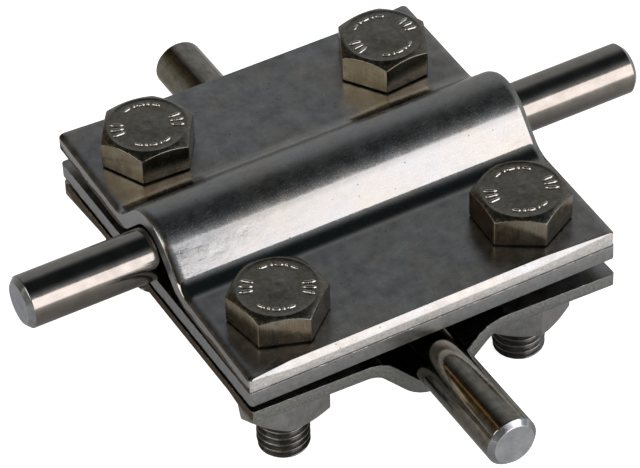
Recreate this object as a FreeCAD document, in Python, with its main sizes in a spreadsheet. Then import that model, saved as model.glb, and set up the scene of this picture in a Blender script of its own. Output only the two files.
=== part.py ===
"""Cross clamp block: two pressed channel plates and a flat plate between them
hold two round rods at right angles, drawn together by four bolts and nuts.

The block is drawn as it stands in use before the last tightening. The bolts
are hand tight, so the upper plate rocks on its rod until its front edge lands
on the middle plate, and the lower plate hangs a little low on the right.
X runs along the upper rod, Y along the lower rod, Z is up, millimetres.
"""

import FreeCAD, Part
import os
import re

import Sketcher

Vector = FreeCAD.Vector

SIZES = [
    # plates
    ("plate_side", "60"),
    ("plate_thickness", "2.5"),
    ("corner_round", "0.6"),
    ("edge_roll", "0.8"),
    ("crown_radius", "4.6"),
    ("channel_depth", "7"),
    ("flank_slope", "46"),
    ("foot_radius", "4.2"),
    ("hole_diameter", "9"),
    ("bolt_pitch", "40"),
    # rods
    ("rod_diameter", "8"),
    ("rod_chamfer", "0.8"),
    ("upper_rod_length", "101.8"),
    ("lower_rod_length", "102.4"),
    # bolts
    ("thread_diameter", "8"),
    ("bolt_length", "26.1"),
    ("tip_chamfer", "0.8"),
    ("head_height", "5.3"),
    ("across_flats", "13"),
    ("head_disc_diameter", "12"),
    ("chamfer_slope", "30"),
    # nuts and washers
    ("nut_height", "6.1"),
    ("thread_clearance", "0.05"),
    ("washer_diameter", "16"),
    ("washer_bore", "8.4"),
    ("washer_thickness", "1.2"),
    # how the parts lie on one another
    ("rod_seat_gap", "0.05"),
    ("contact_gap", "0.02"),
    ("upper_crown_gap", "0.35"),
    ("lower_crown_gap", "0.1"),
    ("lower_rod_drop", "0.95"),
    ("lower_plate_lean", "1.85"),
    ("bolt_cross_depth", "1.5"),
    # how far each hexagon is turned about its bolt
    ("head_turn_front_left", "40"),
    ("head_turn_front_right", "28"),
    ("head_turn_back_left", "57"),
    ("head_turn_back_right", "5"),
    ("nut_turn_front_left", "10"),
    ("nut_turn_front_right", "26"),
    ("nut_turn_back_left", "41"),
    ("nut_turn_back_right", "52"),
]

WORKED_OUT = [
    # section of the pressed plates, measured from the face that looks at the rod
    ("crown_level", "channel_depth - crown_radius"),
    ("foot_level", "plate_thickness + foot_radius"),
    ("foot_reach", "(crown_radius + plate_thickness + foot_radius"
                   " - (foot_level - crown_level) * cos(flank_slope)) / sin(flank_slope)"),
    # upper plate: how far it hangs below the rod's axis, and how far it rocks
    ("rod_radius", "rod_diameter / 2"),
    ("upper_drop", "channel_depth - rod_radius - upper_crown_gap"),
    ("upper_lean", "asin((rod_seat_gap + rod_radius - contact_gap)"
                   " / sqrt(upper_drop ^ 2 + (plate_side / 2) ^ 2))"
                   " - atan(upper_drop / (plate_side / 2))"),
    # heights above the middle plate's centre
    ("upper_rod_rise", "plate_thickness / 2 + rod_seat_gap + rod_radius"),
    ("lower_rod_fall", "plate_thickness / 2 + lower_rod_drop + rod_radius"),
    ("lower_drop", "channel_depth - rod_radius - lower_crown_gap"),
    ("washer_level", "lower_drop - plate_thickness - contact_gap"),
    # bolts stand square on the upper plate and cross the pattern below its middle
    ("bolt_shift", "(upper_rod_rise + bolt_cross_depth) * sin(upper_lean)"),
    ("bolt_front", "-bolt_pitch / 2 * cos(upper_lean) - bolt_shift"),
    ("bolt_back", "bolt_pitch / 2 * cos(upper_lean) - bolt_shift"),
    ("bolt_seat", "plate_thickness + contact_gap - upper_drop"),
    ("seat_front", "upper_rod_rise + bolt_front * sin(upper_lean) + bolt_seat * cos(upper_lean)"),
    ("seat_back", "upper_rod_rise + bolt_back * sin(upper_lean) + bolt_seat * cos(upper_lean)"),
    # a nut turned against the slope of its washer touches it with a corner
    ("nut_corner_gap", "contact_gap + across_flats / (2 * cos(30))"
                       " * sqrt(1 - (cos(upper_lean) * cos(lower_plate_lean)) ^ 2)"),
    ("nut_level", "washer_level - washer_thickness - nut_corner_gap"),
    ("side_fall", "bolt_pitch / 2 * sin(lower_plate_lean)"),
    ("nut_left", "(nut_level + side_fall) / cos(lower_plate_lean) - lower_rod_fall"),
    ("nut_right", "(nut_level - side_fall) / cos(lower_plate_lean) - lower_rod_fall"),
    # the front bolts reach lowest, and the block stands on them
    ("middle_height", "bolt_length * cos(upper_lean)"
                      " + (thread_diameter / 2 - tip_chamfer) * sin(upper_lean) - seat_front"),
    ("upper_rod_height", "middle_height + upper_rod_rise"),
    ("lower_rod_height", "middle_height - lower_rod_fall"),
]

CORNERS = {
    "front_left": ("-bolt_pitch / 2", "bolt_front", "seat_front", "nut_left"),
    "front_right": ("bolt_pitch / 2", "bolt_front", "seat_front", "nut_right"),
    "back_left": ("-bolt_pitch / 2", "bolt_back", "seat_back", "nut_left"),
    "back_right": ("bolt_pitch / 2", "bolt_back", "seat_back", "nut_right"),
}

doc = FreeCAD.newDocument("CrossClampBlock")
sizes = doc.addObject("Spreadsheet::Sheet", "Sizes")
names = [name for name, _ in SIZES + WORKED_OUT]
word = re.compile(r"\b(" + "|".join(names) + r")\b")

for row, (name, value) in enumerate(SIZES, start=1):
    sizes.set(f"A{row}", name.replace("_", " "))
    sizes.set(f"B{row}", value)
    sizes.setAlias(f"B{row}", name)
for row, (name, formula) in enumerate(WORKED_OUT, start=len(SIZES) + 2):
    sizes.set(f"A{row}", name.replace("_", " "))
    sizes.set(f"B{row}", "=" + formula)
    sizes.setAlias(f"B{row}", name)
doc.recompute()


def in_sheet(formula):
    """The formula with each size read from the sheet."""
    return word.sub(r"Sizes.\1", formula)


def bind(feature, prop, formula):
    feature.setExpression(prop, in_sheet(formula))


def value_of(formula):
    """What the formula comes to now, to start a sketch near its solution."""
    return float(sizes.evalExpression(in_sheet(formula)))


def new_body(label, placement):
    body = doc.addObject("PartDesign::Body", label)
    body.Label = label
    bind(body, "Placement", placement)
    return body


def new_sketch(body, name, plane):
    sketch = body.newObject("Sketcher::SketchObject", name)
    origin = [part for part in body.Origin.OriginFeatures if part.Role == plane][0]
    sketch.AttachmentSupport = [(origin, "")]
    sketch.MapMode = "FlatFace"
    return sketch


def dimension(sketch, kind, formula, *where):
    """A sketch dimension of the given kind, bound to the formula."""
    number = sketch.addConstraint(Sketcher.Constraint(kind, *where, value_of(formula)))
    sketch.setExpression(f"Constraints[{number}]", in_sheet(formula))


def place_point(sketch, edge, end, across, up):
    dimension(sketch, "DistanceX", across, -1, 1, edge, end)
    dimension(sketch, "DistanceY", up, -1, 1, edge, end)


def join_ends(sketch, pairs, kind="Coincident"):
    for first, first_end, second, second_end in pairs:
        sketch.addConstraint(Sketcher.Constraint(kind, first, first_end, second, second_end))


def draw_outline(sketch, points):
    """A closed outline of straight edges whose corners lie at the given formulas."""
    spots = [Vector(value_of(across), value_of(up), 0) for across, up in points]
    edges = [sketch.addGeometry(Part.LineSegment(spot, spots[(turn + 1) % len(spots)]), False)
             for turn, spot in enumerate(spots)]
    join_ends(sketch, [(edge, 2, edges[(turn + 1) % len(edges)], 1)
                       for turn, edge in enumerate(edges)])
    for edge, (across, up) in zip(edges, points):
        place_point(sketch, edge, 1, across, up)


def draw_circle(sketch, diameter, across=None, up=None):
    centre = Vector(value_of(across or "0"), value_of(up or "0"), 0)
    circle = sketch.addGeometry(Part.Circle(centre, Vector(0, 0, 1), value_of(diameter) / 2), False)
    dimension(sketch, "Diameter", diameter, circle)
    if across is None:
        sketch.addConstraint(Sketcher.Constraint("Coincident", circle, 3, -1, 1))
    else:
        place_point(sketch, circle, 3, across, up)


def draw_hexagon(sketch, across_flats):
    """A regular hexagon about the origin, with one corner on the X axis."""
    reach = f"{across_flats} / (2 * cos(30))"
    corners = [Vector(value_of(f"{reach} * cos({60 * turn})"),
                      value_of(f"{reach} * sin({60 * turn})"), 0) for turn in range(6)]
    sides = [sketch.addGeometry(Part.LineSegment(corners[turn], corners[(turn + 1) % 6]), False)
             for turn in range(6)]
    join_ends(sketch, [(sides[turn], 2, sides[(turn + 1) % 6], 1) for turn in range(6)])
    ring = sketch.addGeometry(Part.Circle(Vector(0, 0, 0), Vector(0, 0, 1), value_of(reach)), True)
    sketch.addConstraint(Sketcher.Constraint("Coincident", ring, 3, -1, 1))
    for side in sides:
        sketch.addConstraint(Sketcher.Constraint("PointOnObject", side, 1, ring))
    for side in sides[1:]:
        sketch.addConstraint(Sketcher.Constraint("Equal", sides[0], side))
    sketch.addConstraint(Sketcher.Constraint("PointOnObject", sides[0], 1, -1))
    dimension(sketch, "DistanceY", f"{across_flats} / 2", -1, 1, sides[1], 1)


def extrude(body, kind, name, sketch, length=None, both_sides=False, reverse=False):
    feature = body.newObject(kind, name)
    feature.Profile = sketch
    if length:
        bind(feature, "Length", length)
    else:
        feature.Type = "ThroughAll"
    if both_sides:
        feature.SideType = "Symmetric"
    feature.Reversed = reverse
    sketch.Visibility = False
    doc.recompute()
    return feature


def turn_about(body, kind, name, sketch, axis):
    feature = body.newObject(kind, name)
    feature.Profile = sketch
    feature.ReferenceAxis = (sketch, [axis])
    feature.Angle = 360
    sketch.Visibility = False
    doc.recompute()
    return feature


def cut_corners_and_holes(body):
    """One rounded corner and one bolt hole, repeated about the plate's middle."""
    sketch = new_sketch(body, body.Label + "_corner_sketch", "XY_Plane")
    draw_circle(sketch, "hole_diameter", "bolt_pitch / 2", "bolt_pitch / 2")
    reach, start = "plate_side / 2", "plate_side / 2 - corner_round"
    tip = Vector(value_of(reach), value_of(reach), 0)
    inner = Vector(value_of(start), value_of(start), 0)
    right = sketch.addGeometry(Part.LineSegment(Vector(tip.x, inner.y, 0), tip), False)
    top = sketch.addGeometry(Part.LineSegment(tip, Vector(inner.x, tip.y, 0)), False)
    circle = Part.Circle(inner, Vector(0, 0, 1), value_of("corner_round"))
    arc = sketch.addGeometry(Part.ArcOfCircle(circle, 0, value_of("pi / 2")), False)
    join_ends(sketch, [(right, 2, top, 1)])
    join_ends(sketch, [(arc, 1, right, 1), (arc, 2, top, 2)], "Tangent")
    sketch.addConstraint(Sketcher.Constraint("Vertical", right))
    sketch.addConstraint(Sketcher.Constraint("Horizontal", top))
    place_point(sketch, top, 1, reach, reach)
    dimension(sketch, "Radius", "corner_round", arc)
    cut = extrude(body, "PartDesign::Pocket", body.Label + "_corner", sketch, both_sides=True)
    pattern = body.newObject("PartDesign::PolarPattern", body.Label + "_corners")
    pattern.Originals = [cut]
    pattern.Axis = (sketch, ["N_Axis"])
    pattern.Angle = 360
    pattern.Occurrences = 4
    body.Tip = pattern
    doc.recompute()


def draw_channel_half(sketch):
    """Half the pressed section: crown, flank, foot, flange and rolled outer edge."""
    crown = Vector(0, value_of("crown_level"), 0)
    foot = Vector(value_of("foot_reach"), value_of("foot_level"), 0)
    edge = value_of("plate_side / 2")
    thick = value_of("plate_thickness")
    roll = value_of("edge_roll")
    up = Vector(0, 0, 1)
    tilt = value_of("(90 - flank_slope) * pi / 180")
    quarter = value_of("pi / 2")
    slope = Vector(value_of("sin(flank_slope)"), value_of("cos(flank_slope)"), 0)
    inner = value_of("crown_radius")
    bend = value_of("foot_radius")

    def arc(centre, radius, start, end):
        return sketch.addGeometry(Part.ArcOfCircle(Part.Circle(centre, up, radius), start, end), False)

    def line(start, end):
        return sketch.addGeometry(Part.LineSegment(start, end), False)

    crown_out = arc(crown, inner + thick, tilt, quarter)
    flank_out = line(crown + slope * (inner + thick), foot - slope * bend)
    foot_out = arc(foot, bend, tilt + 2 * quarter, 3 * quarter)
    face_out = line(Vector(foot.x, thick, 0), Vector(edge - roll, thick, 0))
    roll_arc = arc(Vector(edge - roll, thick - roll, 0), roll, 0, quarter)
    rim = line(Vector(edge, thick - roll, 0), Vector(edge, 0, 0))
    face_in = line(Vector(edge, 0, 0), Vector(foot.x, 0, 0))
    foot_in = arc(foot, bend + thick, tilt + 2 * quarter, 3 * quarter)
    flank_in = line(foot - slope * (bend + thick), crown + slope * inner)
    crown_in = arc(crown, inner, tilt, quarter)
    middle = line(Vector(0, crown.y + inner, 0), Vector(0, crown.y + inner + thick, 0))

    join_ends(sketch, [
        (crown_out, 1, flank_out, 1), (flank_out, 2, foot_out, 1), (foot_out, 2, face_out, 1),
        (face_out, 2, roll_arc, 2), (roll_arc, 1, rim, 1), (face_in, 2, foot_in, 2),
        (foot_in, 1, flank_in, 1), (flank_in, 2, crown_in, 1)], "Tangent")
    join_ends(sketch, [
        (rim, 2, face_in, 1), (crown_in, 2, middle, 1), (middle, 2, crown_out, 2),
        (crown_in, 3, crown_out, 3), (foot_in, 3, foot_out, 3)])
    sketch.addConstraint([
        Sketcher.Constraint("Horizontal", face_out), Sketcher.Constraint("Horizontal", face_in),
        Sketcher.Constraint("Vertical", rim),
        Sketcher.Constraint("PointOnObject", middle, 1, -2),
        Sketcher.Constraint("PointOnObject", middle, 2, -2)])
    place_point(sketch, crown_out, 3, "0", "crown_level")
    place_point(sketch, foot_out, 3, "foot_reach", "foot_level")
    dimension(sketch, "Radius", "crown_radius", crown_in)
    dimension(sketch, "Radius", "crown_radius + plate_thickness", crown_out)
    dimension(sketch, "Radius", "foot_radius", foot_out)
    dimension(sketch, "Radius", "foot_radius + plate_thickness", foot_in)
    dimension(sketch, "Radius", "edge_roll", roll_arc)
    dimension(sketch, "DistanceX", "plate_side / 2", -1, 1, rim, 1)


def channel_plate(label, placement):
    """A square plate with a round channel pressed along the body's X axis."""
    body = new_body(label, placement)
    sketch = new_sketch(body, label + "_section", "YZ_Plane")
    draw_channel_half(sketch)
    half = extrude(body, "PartDesign::Pad", label + "_half", sketch, "plate_side", both_sides=True)
    mirror = body.newObject("PartDesign::Mirrored", label + "_whole")
    mirror.Originals = [half]
    mirror.MirrorPlane = (sketch, ["V_Axis"])
    body.Tip = mirror
    doc.recompute()
    cut_corners_and_holes(body)


def flat_plate(label, placement):
    body = new_body(label, placement)
    sketch = new_sketch(body, label + "_square", "XY_Plane")
    half = "plate_side / 2"
    draw_outline(sketch, [("-" + half, "-" + half), (half, "-" + half),
                          (half, half), ("-" + half, half)])
    extrude(body, "PartDesign::Pad", label + "_blank", sketch, "plate_thickness", both_sides=True)
    cut_corners_and_holes(body)


def rod(label, length, placement):
    """A round bar along the body's X axis with a chamfer at each end."""
    body = new_body(label, placement)
    sketch = new_sketch(body, label + "_profile", "XZ_Plane")
    end, shoulder = f"{length} / 2", f"{length} / 2 - rod_chamfer"
    draw_outline(sketch, [
        (f"-({end})", "0"), (end, "0"), (end, "rod_radius - rod_chamfer"),
        (shoulder, "rod_radius"), (f"-({shoulder})", "rod_radius"),
        (f"-({end})", "rod_radius - rod_chamfer")])
    turn_about(body, "PartDesign::Revolution", label + "_bar", sketch, "H_Axis")


def bolt(label, placement):
    """A hexagon bolt that hangs down from its seat at the body's origin."""
    body = new_body(label, placement)
    turned = new_sketch(body, label + "_turned", "XZ_Plane")
    draw_outline(turned, [
        ("0", "-bolt_length"), ("thread_diameter / 2 - tip_chamfer", "-bolt_length"),
        ("thread_diameter / 2", "tip_chamfer - bolt_length"), ("thread_diameter / 2", "0"),
        ("0", "0")])
    turn_about(body, "PartDesign::Revolution", label + "_shank", turned, "V_Axis")
    hexagon = new_sketch(body, label + "_hexagon", "XY_Plane")
    draw_hexagon(hexagon, "across_flats")
    extrude(body, "PartDesign::Pad", label + "_head", hexagon, "head_height")
    corner = new_sketch(body, label + "_corner_cut", "XZ_Plane")
    draw_outline(corner, [
        ("head_disc_diameter / 2", "head_height"), ("across_flats", "head_height"),
        ("across_flats", "head_height - (across_flats - head_disc_diameter / 2) * tan(chamfer_slope)")])
    turn_about(body, "PartDesign::Groove", label + "_head_chamfer", corner, "V_Axis")


def nut(label, placement):
    """A hexagon nut that hangs down from its flat seat at the body's origin."""
    body = new_body(label, placement)
    hexagon = new_sketch(body, label + "_hexagon", "XY_Plane")
    draw_hexagon(hexagon, "across_flats")
    extrude(body, "PartDesign::Pad", label + "_blank", hexagon, "nut_height", reverse=True)
    corner = new_sketch(body, label + "_corner_cut", "XZ_Plane")
    fall = "(across_flats - head_disc_diameter / 2) * tan(chamfer_slope)"
    draw_outline(corner, [
        ("head_disc_diameter / 2", "-nut_height"), ("across_flats", "-nut_height"),
        ("across_flats", f"{fall} - nut_height")])
    turn_about(body, "PartDesign::Groove", label + "_chamfer", corner, "V_Axis")
    bore = new_sketch(body, label + "_bore_profile", "XZ_Plane")
    wall = "thread_diameter / 2 + thread_clearance"
    draw_outline(bore, [("0", "0"), (wall, "0"), (wall, "-nut_height"), ("0", "-nut_height")])
    turn_about(body, "PartDesign::Groove", label + "_bore", bore, "V_Axis")


def washer(label, placement):
    body = new_body(label, placement)
    sketch = new_sketch(body, label + "_ring", "XY_Plane")
    draw_circle(sketch, "washer_diameter")
    draw_circle(sketch, "washer_bore")
    extrude(body, "PartDesign::Pad", label + "_blank", sketch, "washer_thickness", reverse=True)


def place(x, y, z, axis="0; 0; 1", angle="0"):
    return f"placement(vector({x}; {y}; {z}); rotation(vector({axis}); {angle}))"


upper_frame = place("0", "0", "upper_rod_height", "1; 0; 0", "upper_lean")
lower_frame = place("0", "0", "lower_rod_height", "0; 1; 0", "lower_plate_lean")

flat_plate("middle_plate", place("0", "0", "middle_height"))
channel_plate("upper_plate", upper_frame + " * " + place("0", "0", "-upper_drop"))
channel_plate("lower_plate", lower_frame + " * " + place("0", "0", "lower_drop", "1; 0; 0", "180")
              + " * " + place("0", "0", "0", "0; 0; 1", "90"))
rod("upper_rod", "upper_rod_length", place("0", "0", "upper_rod_height"))
rod("lower_rod", "lower_rod_length", place("0", "0", "lower_rod_height", "0; 0; 1", "90"))

for corner, (side, depth, seat, nut_top) in CORNERS.items():
    grip = f"({seat} - ({nut_top})) / cos(upper_lean)"
    bolt_frame = upper_frame + " * " + place(side, depth, "bolt_seat")
    bolt("bolt_" + corner, bolt_frame + " * "
         + place("0", "0", "0", "0; 0; 1", "head_turn_" + corner))
    nut("nut_" + corner, bolt_frame + " * "
        + place("0", "0", f"-({grip})", "0; 0; 1", "nut_turn_" + corner))
    across = (f"({side}) * cos(lower_plate_lean)"
              f" - (lower_rod_fall + ({nut_top})) * sin(lower_plate_lean)")
    along = f"{depth} * cos(upper_lean) + ({grip} - bolt_seat) * sin(upper_lean)"
    washer("washer_" + corner, lower_frame + " * " + place(across, along, "washer_level"))

doc.recompute()

os.makedirs("parts", exist_ok=True)
for item in doc.Objects:
    if "Invalid" in item.State or "Error" in item.State:
        raise RuntimeError(f"{item.Label} did not build: {item.State}")
for item in doc.Objects:
    if item.TypeId != "PartDesign::Body":
        continue
    if item.Shape.isNull() or not item.Shape.isValid() or len(item.Shape.Solids) != 1:
        raise RuntimeError(f"{item.Label} is not one sound solid")
    item.Shape.exportStep(f"parts/{item.Label}.step")
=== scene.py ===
"""Cross clamp block, dressed for the camera.

Sizes and places are in millimetres, as in the part's own drawing, and become
metres when a mesh is made. A channel plate is drawn in its own frame: u along
the channel, v across it, w away from the rod.
"""

from math import acos, asin, atan2, ceil, cos, hypot, pi, radians, sin, tan

import bmesh
import bpy
from mathutils import Matrix, Quaternion, Vector


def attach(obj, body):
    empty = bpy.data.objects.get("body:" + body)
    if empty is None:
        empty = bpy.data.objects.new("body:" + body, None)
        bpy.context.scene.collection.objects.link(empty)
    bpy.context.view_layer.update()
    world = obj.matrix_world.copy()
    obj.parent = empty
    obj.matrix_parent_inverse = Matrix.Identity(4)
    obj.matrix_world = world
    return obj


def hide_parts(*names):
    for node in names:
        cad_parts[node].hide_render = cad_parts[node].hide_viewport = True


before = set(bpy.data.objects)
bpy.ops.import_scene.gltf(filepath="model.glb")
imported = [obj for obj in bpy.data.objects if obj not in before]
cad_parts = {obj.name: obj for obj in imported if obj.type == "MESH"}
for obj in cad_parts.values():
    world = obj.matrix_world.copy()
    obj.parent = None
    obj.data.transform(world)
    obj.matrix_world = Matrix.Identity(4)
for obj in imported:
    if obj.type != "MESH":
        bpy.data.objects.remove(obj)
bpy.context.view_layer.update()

MM = 0.001

# plates
PLATE_SIDE = 60
PLATE_THICKNESS = 2.5
CORNER_ROUND = 0.6
CROWN_RADIUS = 4.6
CHANNEL_DEPTH = 7
FLANK_SLOPE = radians(46)
FOOT_RADIUS = 4.2
HOLE_DIAMETER = 9
HOLE_FLARE = 0.15
BOLT_PITCH = 40
RIM_RADIUS = 0.07
# a flange's outer edge is rolled over by this much, and less towards its corners
ROLL_WIDTH = 0.75
ROLL_HEIGHT = 1.15
ROLL_BULGE = 0.04
ROLL_FADE_LEFT = 12
ROLL_FADE_RIGHT = 7
# the two ends of a channel plate are rolled over evenly
END_ROLL_WIDTH = 1.3
END_ROLL_DEPTH = 0.4

# rods
ROD_RADIUS = 4
ROD_CHAMFER = 0.8
UPPER_ROD_LENGTH = 101.8
LOWER_ROD_LENGTH = 102.4
FACING_PITCH = 0.16
FACING_DEPTH = 0.006

# bolts, nuts and washers
THREAD_DIAMETER = 8
THREAD_PITCH = 1.25
THREAD_DEPTH = 0.68
THREAD_INSET = 0.03
BOLT_LENGTH = 26.1
TIP_CHAMFER = 0.8
HEAD_HEIGHT = 5.3
ACROSS_FLATS = 13
CORNER_RADIUS = 0.25
BROW_RADIUS = 0.12
HEAD_DISC_RADIUS = 6
CHAMFER_SLOPE = radians(30)
SEAT_FACE_RADIUS = 5.8
SEAT_FACE_THICKNESS = 0.25
MARK_RING_RADIUS = 4.55
NUT_HEIGHT = 6.1
NUT_BORE_RADIUS = 4.05
NUT_MOUTH = 0.4
WASHER_RADIUS = 8
WASHER_BORE_RADIUS = 4.2
WASHER_THICKNESS = 1.2
WASHER_RIM = 0.2

# how the parts lie on one another
ROD_SEAT_GAP = 0.05
CONTACT_GAP = 0.02
UPPER_CROWN_GAP = 0.35
LOWER_CROWN_GAP = 0.1
LOWER_ROD_DROP = 0.95
LOWER_LEAN = radians(1.85)
BOLT_CROSS_DEPTH = 1.5

# for each corner: side along X, front or back, turn of the head, turn of the nut,
# and turn of the ring of marks on the head
CORNERS = {
    "front_left": (-1, -1, 40, 10, -71),
    "front_right": (1, -1, 28, 26, -40),
    "back_left": (-1, 1, 57, 41, -72),
    "back_right": (1, 1, 5, 52, 0),
}

# the same lean and heights as in the part's own drawing
UPPER_DROP = CHANNEL_DEPTH - ROD_RADIUS - UPPER_CROWN_GAP
LOWER_DROP = CHANNEL_DEPTH - ROD_RADIUS - LOWER_CROWN_GAP
UPPER_LEAN = (asin((ROD_SEAT_GAP + ROD_RADIUS - CONTACT_GAP) / hypot(UPPER_DROP, PLATE_SIDE / 2))
              - atan2(UPPER_DROP, PLATE_SIDE / 2))
UPPER_ROD_RISE = PLATE_THICKNESS / 2 + ROD_SEAT_GAP + ROD_RADIUS
LOWER_ROD_FALL = PLATE_THICKNESS / 2 + LOWER_ROD_DROP + ROD_RADIUS
WASHER_LEVEL = LOWER_DROP - PLATE_THICKNESS - CONTACT_GAP
BOLT_SHIFT = (UPPER_ROD_RISE + BOLT_CROSS_DEPTH) * sin(UPPER_LEAN)
BOLT_SEAT = PLATE_THICKNESS + CONTACT_GAP - UPPER_DROP


def bolt_depth(way):
    """How far back of the upper frame's middle a bolt stands; way is -1 for the front pair."""
    return way * BOLT_PITCH / 2 * cos(UPPER_LEAN) - BOLT_SHIFT


def seat_height(way):
    """Height of a bolt's seat above the middle plate's centre."""
    return UPPER_ROD_RISE + bolt_depth(way) * sin(UPPER_LEAN) + BOLT_SEAT * cos(UPPER_LEAN)


def nut_height(side):
    """Height of a nut's seat above the middle plate's centre."""
    corner_gap = (CONTACT_GAP + ACROSS_FLATS / (2 * cos(pi / 6))
                  * sin(acos(cos(UPPER_LEAN) * cos(LOWER_LEAN))))
    level = WASHER_LEVEL - WASHER_THICKNESS - corner_gap
    return ((level - side * BOLT_PITCH / 2 * sin(LOWER_LEAN)) / cos(LOWER_LEAN)
            - LOWER_ROD_FALL)


MIDDLE_HEIGHT = (BOLT_LENGTH * cos(UPPER_LEAN)
                 + (THREAD_DIAMETER / 2 - TIP_CHAMFER) * sin(UPPER_LEAN) - seat_height(-1))


def shifted(x, y, z):
    return Matrix.Translation((x, y, z))


def turned(angle, axis):
    return Matrix.Rotation(angle, 4, axis)


UPPER_FRAME = shifted(0, 0, MIDDLE_HEIGHT + UPPER_ROD_RISE) @ turned(UPPER_LEAN, "X")
LOWER_FRAME = shifted(0, 0, MIDDLE_HEIGHT - LOWER_ROD_FALL) @ turned(LOWER_LEAN, "Y")


# --- shader helpers -------------------------------------------------------

def new_material(name):
    material = bpy.data.materials.new(name)
    material.use_nodes = True
    nodes = material.node_tree.nodes
    nodes.clear()
    output = nodes.new("ShaderNodeOutputMaterial")
    shader = nodes.new("ShaderNodeBsdfPrincipled")
    material.node_tree.links.new(shader.outputs["BSDF"], output.inputs["Surface"])
    shader.inputs["Metallic"].default_value = 1.0
    return material, shader


class Nodes:
    """Short names for the nodes that the metals share. Lengths are in millimetres."""

    def __init__(self, material):
        self.tree = material.node_tree
        place = self.tree.nodes.new("ShaderNodeTexCoord")
        self.place = place.outputs["Object"]

    def add(self, kind, **settings):
        node = self.tree.nodes.new(kind)
        for key, value in settings.items():
            setattr(node, key, value)
        return node

    def split(self, vector):
        """The X, Y and Z of a place or a direction."""
        node = self.add("ShaderNodeSeparateXYZ")
        self.plug(vector, node.inputs["Vector"])
        return node.outputs

    def along(self, vector, way):
        """How far a place or a direction reaches along the given way."""
        node = self.add("ShaderNodeVectorMath", operation="DOT_PRODUCT")
        self.plug(vector, node.inputs[0])
        node.inputs[1].default_value = way
        return node.outputs["Value"]

    def plug(self, value, socket):
        if isinstance(value, bpy.types.NodeSocket):
            self.tree.links.new(value, socket)
        else:
            socket.default_value = value

    def mapped(self, scale=(1, 1, 1), shift=(0, 0, 0), turn=(0, 0, 0)):
        node = self.add("ShaderNodeMapping")
        self.plug(self.place, node.inputs["Vector"])
        node.inputs["Scale"].default_value = [part / MM for part in scale]
        node.inputs["Location"].default_value = shift
        node.inputs["Rotation"].default_value = turn
        return node.outputs["Vector"]

    def drawn_out(self, length, width, turn):
        """A place measured in strokes of this length and width, turned about Z."""
        node = self.add("ShaderNodeMapping", vector_type="TEXTURE")
        self.plug(self.place, node.inputs["Vector"])
        node.inputs["Scale"].default_value = (length * MM, width * MM, width * MM)
        node.inputs["Rotation"].default_value = (0, 0, turn)
        return node.outputs["Vector"]

    def grey(self, value):
        """A colour whose three channels are the given value."""
        node = self.add("ShaderNodeCombineColor")
        for channel in ("Red", "Green", "Blue"):
            self.plug(value, node.inputs[channel])
        return node.outputs["Color"]

    def noise(self, vector, scale=1.0, detail=3.0, roughness=0.55):
        node = self.add("ShaderNodeTexNoise")
        self.plug(vector, node.inputs["Vector"])
        node.inputs["Scale"].default_value = scale
        node.inputs["Detail"].default_value = detail
        node.inputs["Roughness"].default_value = roughness
        return node.outputs["Fac"]

    def spots(self, vector):
        """The distance to the nearest of some scattered points, about one to a unit cube."""
        node = self.add("ShaderNodeTexVoronoi")
        self.plug(vector, node.inputs["Vector"])
        node.inputs["Scale"].default_value = 1.0
        return node.outputs["Distance"]

    def remap(self, value, low, high, to_low=0.0, to_high=1.0):
        node = self.add("ShaderNodeMapRange")
        node.clamp = True
        self.plug(value, node.inputs["Value"])
        node.inputs["From Min"].default_value = low
        node.inputs["From Max"].default_value = high
        node.inputs["To Min"].default_value = to_low
        node.inputs["To Max"].default_value = to_high
        return node.outputs["Result"]

    def math(self, operation, first, second=0.0):
        node = self.add("ShaderNodeMath", operation=operation)
        self.plug(first, node.inputs[0])
        self.plug(second, node.inputs[1])
        return node.outputs["Value"]

    def mix(self, factor, first, second, blend="MIX"):
        node = self.add("ShaderNodeMix", data_type="RGBA", blend_type=blend)
        self.plug(factor, node.inputs["Factor"])
        for value, socket in ((first, node.inputs["A"]), (second, node.inputs["B"])):
            if isinstance(value, tuple):
                socket.default_value = (*value, 1.0)
            else:
                self.plug(value, socket)
        return node.outputs["Result"]

    def bump(self, height, strength, distance, onto=None):
        node = self.add("ShaderNodeBump")
        self.plug(height, node.inputs["Height"])
        node.inputs["Strength"].default_value = strength
        node.inputs["Distance"].default_value = distance * MM
        if onto is not None:
            self.plug(onto, node.inputs["Normal"])
        return node.outputs["Normal"]


def press_polish(nodes, side, away):
    """How far the press has polished a channel plate at this distance from its middle.

    It is most on the flanks and feet, above all where side is negative, and just
    before the edge.
    """
    flank = nodes.math("ADD", nodes.remap(away, 2.0, 4.8, 0.0, 0.09),
                       nodes.remap(away, 4.8, 6.0, 0.0, 0.15))
    foot = nodes.math("MULTIPLY", flank, nodes.remap(away, 12.2, 11.2))
    weighed = nodes.math("MULTIPLY", foot, nodes.remap(side, -3, 3, 1.0, 0.5))
    return nodes.math("ADD", weighed, nodes.remap(away, 28.9, 29.3, 0.0, 0.15))


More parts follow.
